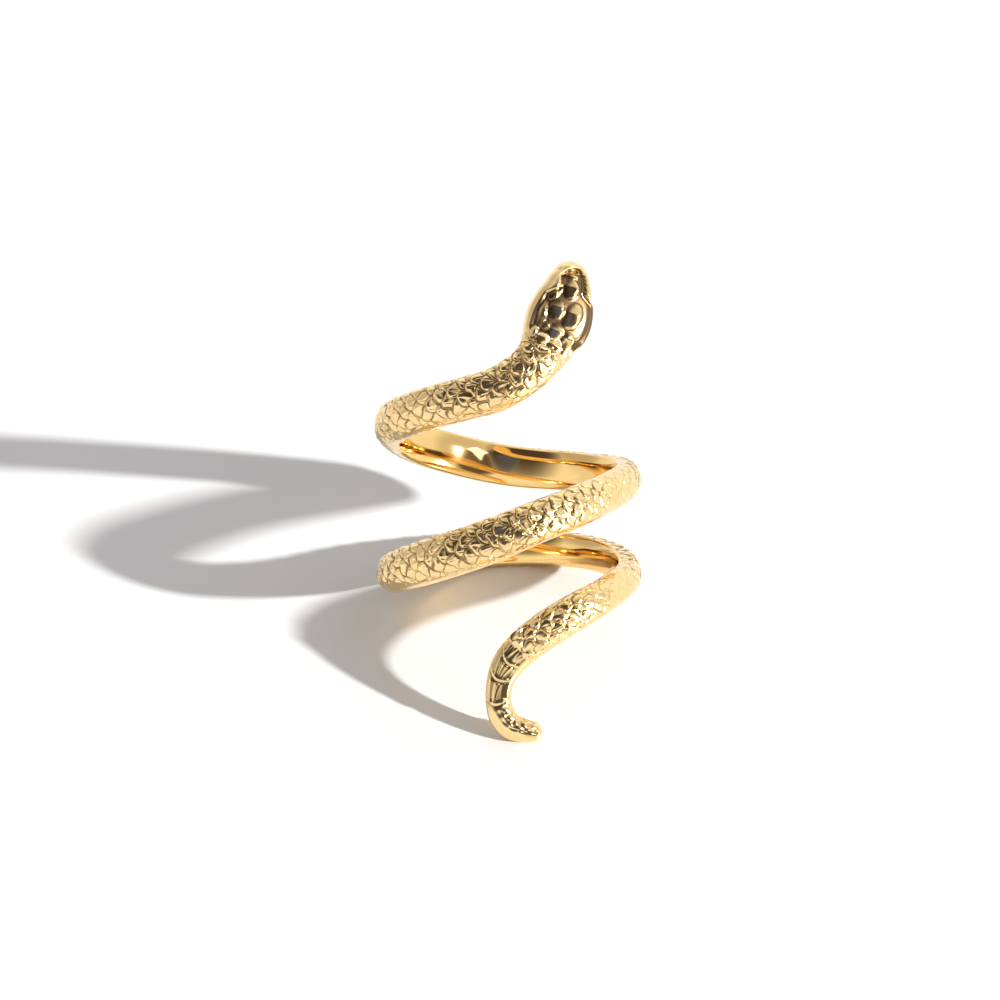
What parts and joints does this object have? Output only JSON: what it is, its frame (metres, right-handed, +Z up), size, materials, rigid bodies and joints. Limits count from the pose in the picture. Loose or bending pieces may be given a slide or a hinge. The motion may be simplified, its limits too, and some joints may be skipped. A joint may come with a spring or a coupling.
{
  "type": "snake wrap ring",
  "caption": "Finger ring in the form of a scaled snake wound in open turns round the finger, with its head raised at one end and its tail curled at the other.",
  "frame": {"origin": "centre of the bounding box's bottom, on the surface that the ring rests on", "axes": "+Z up as the ring rests, +X to the right seen from the side that shows the head, +Y away from that side; the axis of the finger hole leans 35.5 degrees from +Z towards +Y"},
  "size_m": [0.0214, 0.0292, 0.0303],
  "materials": {
    "gold": "polished gold-plated brass, with dark grooves between the scales"
  },
  "bodies": {
    "root": {"snake_band": "gold"}
  },
  "joints": []
}
